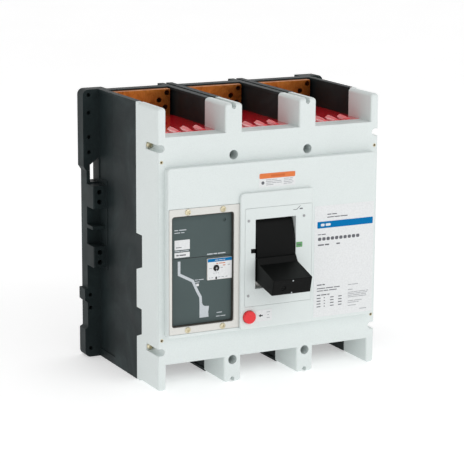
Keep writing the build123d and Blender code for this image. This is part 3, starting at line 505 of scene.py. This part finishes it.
def sticker_prints():
    sticker = Surface("upper_sticker")
    wide, tall = sticker.wide, sticker.tall
    band = rounded(0.5, wide - 0.5, tall - 7.9, tall - 0.4, 1.6, 4)
    sticker.print("sticker_orange_band", [band], INK_ORANGE)
    band_bar = text_bars(18.6, tall - 5.8, (23.0,), 3.0, 1.0)
    sticker.print("sticker_band_bar", band_bar, INK_RUST, lift=0.18)
    left = ((8.0, 9.0), (11.0, 13.0), (9.0, 7.0, 8.0), (12.0,))
    right = ((9.0, 5.0), (7.0, 6.0), (12.0, 3.0), (6.0, 7.0))
    lines = []
    for x, rows in ((11.0, left), (39.4, right)):
        lines += paragraph(x, tall - 10.4, 2.4, rows, 0.9, 0.8)
    sticker.print("sticker_lines", lines, INK_FAINT)
    sticker.print("sticker_mark", [circle(6.0, 6.4, 2.4, 20)], INK, lift=0.14)


def button_label_prints():
    label = Surface("trip_label")
    arrow = [(4.4, 8.6), (8.0, 11.0), (8.0, 9.4), (11.2, 9.4), (11.2, 7.8), (8.0, 7.8), (8.0, 6.2)]
    label.print("button_label_arrow", [arrow], INK_BLACK)
    lines = text_rows((17.4, 12.4, (5.4,), 1.0, 1.0), (18.6, 8.4, (3.0,), 1.0, 1.0),
                      (17.6, 4.0, (5.0,), 1.0, 1.0))
    label.print("button_label_lines", lines, INK_FAINT)


def escutcheon_prints():
    plate = Surface("handle_escutcheon")
    plate.print("escutcheon_green_mark", [rounded(82.4, 92.4, 80.0, 87.6, 0.8, 3)], INK_GREEN)
    mark_bar = text_bars(84.4, 82.6, (2.0, 3.0), 2.2, 0.6)
    plate.print("escutcheon_green_mark_bar", mark_bar, INK, lift=0.18)
    base = plate.tall - 7.2
    symbol = [ribbon([(77.0, base), (82.6, base), (88.4, base + 5.0)], 0.7),
              rounded(87.4, 92.4, base - 0.2, base + 1.6, 0.6, 2)]
    plate.print("escutcheon_switch_symbol", symbol, INK)


# ------------------------------------------------------------------ trim, screws and baffles
CLEAR_OF_NEIGHBOUR = 0.02 * MM


def escutcheon_trim():
    """Black lock bar that fills the small notch beside the handle opening."""
    low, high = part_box("handle_escutcheon")
    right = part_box("handle")[0].x - 1.9 * MM
    length, bottom, top = 6.6 * MM, 78.2 * MM, 83.9 * MM
    corner, sunk = 0.4 * MM, 0.3 * MM
    bm = bmesh.new()
    prism(bm, rounded(right - length, right, low.z + bottom, low.z + top, corner, 2),
          low.y + sunk, high.y - CLEAR_OF_NEIGHBOUR)
    finished("handle_lock_bar", bm, HANDLE, BODY)


def trip_window_liner():
    """Dark seal between the frame's window and the faceplate behind it."""
    frame_low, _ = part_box("trip_unit_frame")
    low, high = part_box("trip_unit_faceplate")
    lap, lip_left, lip_right, lip_ends = 0.2 * MM, 1.4 * MM, 1.0 * MM, 1.2 * MM
    outer_corner, inner_corner, behind_front = 3.9 * MM, 3.0 * MM, 1.9 * MM
    outer = rounded(low.x - lap, high.x + lap, low.z - lap, high.z + lap, outer_corner)
    inner = rounded(low.x + lip_left, high.x - lip_right, low.z + lip_ends, high.z - lip_ends,
                    inner_corner)
    bm = bmesh.new()
    ring(bm, outer, inner, frame_low.y + behind_front, low.y - CLEAR_OF_NEIGHBOUR)
    finished("trip_window_liner", bm, LINER, BODY)


def screw_set(name, node, head_radius, head_height, shank_radius, shank_length):
    """Four cross-recessed screws that stand for a CAD node of plain ones."""
    low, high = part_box(node)
    places = [(x, z) for x in (low.x + head_radius, high.x - head_radius)
              for z in (low.z + head_radius, high.z - head_radius)]
    seat = low.y + head_height
    under_head = 0.01 * MM
    bm = bmesh.new()
    for index, place in enumerate(places):
        turn = math.radians(17 + 31 * index)
        pan_head(bm, place, seat, head_radius, head_height, turn)
        prism(bm, circle(*place, shank_radius, 20), seat + under_head, seat + shank_length)
    piece = finished(name, bm, BRASS, BODY)
    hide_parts(node)


def screws():
    screw_set("trip_frame_screw_heads", "trip_unit_frame_screws",
              head_radius=4.4 * MM, head_height=1.8 * MM,
              shank_radius=1.65 * MM, shank_length=8.0 * MM)
    screw_set("cover_screw_heads", "cover_screws",
              head_radius=4.6 * MM, head_height=3.6 * MM,
              shank_radius=2.45 * MM, shank_length=55.0 * MM)


def red_baffle(pole):
    """Glossy red floor of one well, with four louvres that swell towards the back."""
    low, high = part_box("vent_baffle_" + pole)
    middle = (low.x + high.x) / 2
    swell, thick = 4.0 * MM, 3.6 * MM
    floor_z = high.z - swell
    crown = 0.9 * swell
    narrow, wide = 45.5 * MM, high.x - middle
    step_y = low.y + 33.5 * MM
    rise_from, rise_to, fall_to = low.y + 2.0 * MM, low.y + 29.0 * MM, low.y + 33.0 * MM
    louvres, louvre_half = (-30.0 * MM, -10.0 * MM, 10.0 * MM, 30.0 * MM), 4.9 * MM
    columns, rows = 96, 44
    bm = bmesh.new()

    def bump(x, y):
        if y <= rise_from or y >= fall_to:
            return 0.0
        if y < rise_to:
            along = (y - rise_from) / (rise_to - rise_from)
        else:
            along = (fall_to - y) / (fall_to - rise_to)
        across = max(0.0, 1.0 - min(abs(x - centre) for centre in louvres) / louvre_half)
        return crown * math.sqrt(math.sin(along * math.pi / 2)) * math.sin(across * math.pi / 2) ** 2

    def slab(stations):
        """Closed slab through stations of (depth, half width), with the louvres on top."""
        tops, unders = [], []
        for y, half in stations:
            xs = [half * (2 * i / columns - 1) for i in range(columns + 1)]
            tops.append([bm.verts.new((middle + x, y, floor_z + bump(x, y))) for x in xs])
            unders.append([bm.verts.new((middle + x, y, floor_z - thick)) for x in xs])
        for grid in (tops, unders):
            for near, far in zip(grid, grid[1:]):
                for i in range(columns):
                    bm.faces.new((near[i], near[i + 1], far[i + 1], far[i]))
        for side in (0, columns):
            for k in range(len(stations) - 1):
                bm.faces.new((tops[k][side], tops[k + 1][side], unders[k + 1][side], unders[k][side]))
        for end in (0, len(stations) - 1):
            for i in range(columns):
                bm.faces.new((tops[end][i], tops[end][i + 1], unders[end][i + 1], unders[end][i]))

    depths = [low.y + (step_y - low.y) * k / (rows - 2) for k in range(rows - 1)]
    slab([(y, narrow) for y in depths])
    slab([(step_y, wide), (high.y, wide)])
    piece = finished("red_baffle_" + pole, bm, RED_FIBRE, BODY)
    piece.data.shade_smooth()
    piece.data.set_sharp_from_angle(angle=math.radians(35))
    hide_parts("vent_baffle_" + pole)


# ------------------------------------------------------------------ details of the moving parts
HANDLE_TILT = math.radians(14.0)  # of the lever below level, at rest
LEVER_REACH = 153.5 * MM  # from the handle's pivot to the lever's front face


def joint(name):
    return next(j for j in frame["record"]["behaviour"]["joints"] if j["name"] == name)


def dial_marks():
    dial = Surface("rating_plug_screw", "dial")
    half = dial.wide / 2
    dial.print("dial_hub", [circle(half, half, 1.3, 24)], STEEL, lift=0.06)
    dial.print("dial_pointer", [[(half - 0.7, 0.5), (half + 0.7, 0.5), (half, 2.6)]], FILM, lift=0.06)


def handle_marks():
    """Pale dots, a tenth of a millimetre proud, on the middle line of the lever's front face."""
    pivot = Vector(joint("handle_throw")["pos_m"])
    face = pivot.y - LEVER_REACH
    radius, proud = 1.0 * MM, 0.1 * MM
    tilt = (Matrix.Translation(pivot) @ Matrix.Rotation(HANDLE_TILT, 4, "X")
            @ Matrix.Translation(-pivot))
    for name, height in (("upper", 7.4 * MM), ("lower", -11.4 * MM)):
        bm = bmesh.new()
        prism(bm, circle(pivot.x, pivot.z + height, radius, 20), face - proud, face + proud)
        bmesh.ops.transform(bm, matrix=tilt, verts=bm.verts)
        finished("handle_pale_dot_" + name, bm, INK_LIGHT, "handle_group")


def button_return_spring():
    """Return spring of the button: a copy of the CAD spring in zinc steel, riding on the body."""
    spring = frame["nodes"]["button_spring"].data.copy()
    piece = bpy.data.objects.new("button_return_spring", spring)
    bpy.context.scene.collection.objects.link(piece)
    piece.data.materials.clear()
    piece.data.materials.append(STEEL)
    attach(piece, BODY)
    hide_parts("button_spring")
    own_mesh(piece)


# ------------------------------------------------------------------ stage, light and camera
FLOOR_REACH = 6.0
FLOOR_GLOW = 0.41  # lifts the paper to the photo's white ground
WORLD_STRENGTH = 1.18
OVERHEAD_DIMMED = 0.36
LEFT_DIMMED = 0.66
AREA_LIGHTS = (  # name, place, size, watts
    ("key", (0.9, -2.4, 1.9), (1.6, 1.6), 11.0),
    ("side_fill", (-2.4, -0.9, 0.9), (1.2, 1.8), 2.5),
    ("top", (0.0, 0.2, 2.4), (1.8, 1.2), 3.0),
)
CAMERA_PLACE = (-1.244, -2.5578, 0.6113)
CAMERA_DEGREES = (26.94, 12.374, 0.352)  # azimuth, elevation, roll
FOCAL_PIXELS, IMAGE_PIXELS = 1882.3, 464.0
SENSOR_MM = 36.0


def floor():
    low = CAD_BOX[0].z
    bm = bmesh.new()
    corners = [bm.verts.new((x * FLOOR_REACH, y * FLOOR_REACH, low))
               for x, y in ((-1, -1), (1, -1), (1, 1), (-1, 1))]
    bm.faces.new(corners)
    mesh = bpy.data.meshes.new("studio_floor")
    bm.to_mesh(mesh)
    bm.free()
    plane = bpy.data.objects.new("studio_floor", mesh)
    bpy.context.scene.collection.objects.link(plane)
    s = Shade("studio_paper", 0.85, Emission_Color=(*grey(1.0), 1.0), Emission_Strength=FLOOR_GLOW)
    s.colour(s.ramp(s.noise(3.0, detail=3.0), (0.3, grey(0.88)), (0.7, grey(0.91))))
    mesh.materials.append(s.relief((s.noise(500.0, detail=2.0), 0.1, 0.0001)))


def area_light(name, place, aim, size, power):
    light = bpy.data.lights.new(name, "AREA")
    light.shape = "RECTANGLE"
    light.size, light.size_y = size
    light.energy = power
    lamp = bpy.data.objects.new(name, light)
    bpy.context.scene.collection.objects.link(lamp)
    lamp.location = place
    lamp.rotation_euler = (Vector(aim) - Vector(place)).to_track_quat("-Z", "Y").to_euler()


def lights():
    """White surroundings, dimmer overhead and on the object's left, and three soft lamps."""
    world = bpy.data.worlds.new("studio_world")
    world.use_nodes = True
    nodes, links = world.node_tree.nodes, world.node_tree.links
    axes = nodes.new("ShaderNodeSeparateXYZ")
    links.new(nodes.new("ShaderNodeTexCoord").outputs["Generated"], axes.inputs["Vector"])

    def shade(socket, start, end, dimmest):
        node = nodes.new("ShaderNodeMapRange")
        node.interpolation_type = "SMOOTHSTEP"
        limits = (("From Min", start), ("From Max", end), ("To Min", 1.0), ("To Max", dimmest))
        for key, value in limits:
            node.inputs[key].default_value = value
        links.new(socket, node.inputs["Value"])
        return node.outputs["Result"]

    product = nodes.new("ShaderNodeMath")
    product.operation = "MULTIPLY"
    links.new(shade(axes.outputs["Z"], 0.15, 0.95, OVERHEAD_DIMMED), product.inputs[0])
    links.new(shade(axes.outputs["X"], -0.1, -0.9, LEFT_DIMMED), product.inputs[1])
    strength = nodes.new("ShaderNodeMath")
    strength.operation = "MULTIPLY"
    strength.inputs[1].default_value = WORLD_STRENGTH
    links.new(product.outputs["Value"], strength.inputs[0])
    links.new(strength.outputs["Value"], nodes["Background"].inputs["Strength"])
    nodes["Background"].inputs["Color"].default_value = (*grey(1.0), 1.0)
    bpy.context.scene.world = world
    centre = (CAD_BOX[0] + CAD_BOX[1]) / 2
    for name, place, size, watts in AREA_LIGHTS:
        area_light(name, place, centre, size, watts)


def camera():
    azimuth, elevation, roll = (math.radians(angle) for angle in CAMERA_DEGREES)
    back = Vector((-math.sin(azimuth) * math.cos(elevation),
                   -math.cos(azimuth) * math.cos(elevation), math.sin(elevation)))
    right = Vector((math.cos(azimuth), -math.sin(azimuth), 0.0))
    up = back.cross(right)
    across = right * math.cos(roll) + up * math.sin(roll)
    upright = up * math.cos(roll) - right * math.sin(roll)
    data = bpy.data.cameras.new("photo_view")
    data.sensor_width = SENSOR_MM
    data.lens = SENSOR_MM * (FOCAL_PIXELS / IMAGE_PIXELS)
    view = bpy.data.objects.new("photo_view", data)
    bpy.context.scene.collection.objects.link(view)
    turn = Matrix((across, upright, back)).transposed().to_4x4()
    view.matrix_world = Matrix.Translation(CAMERA_PLACE) @ turn
    bpy.context.scene.camera = view


# ------------------------------------------------------------------ build
camera()
lights()
floor()
dress_cad_nodes()
trip_unit_prints()
rating_plug_prints()
rating_label_prints()
sticker_prints()
button_label_prints()
escutcheon_prints()
escutcheon_trim()
trip_window_liner()
screws()
for pole_name in "abc":
    red_baffle(pole_name)
dial_marks()
handle_marks()
button_return_spring()
bpy.context.scene.view_settings.view_transform = "Standard"
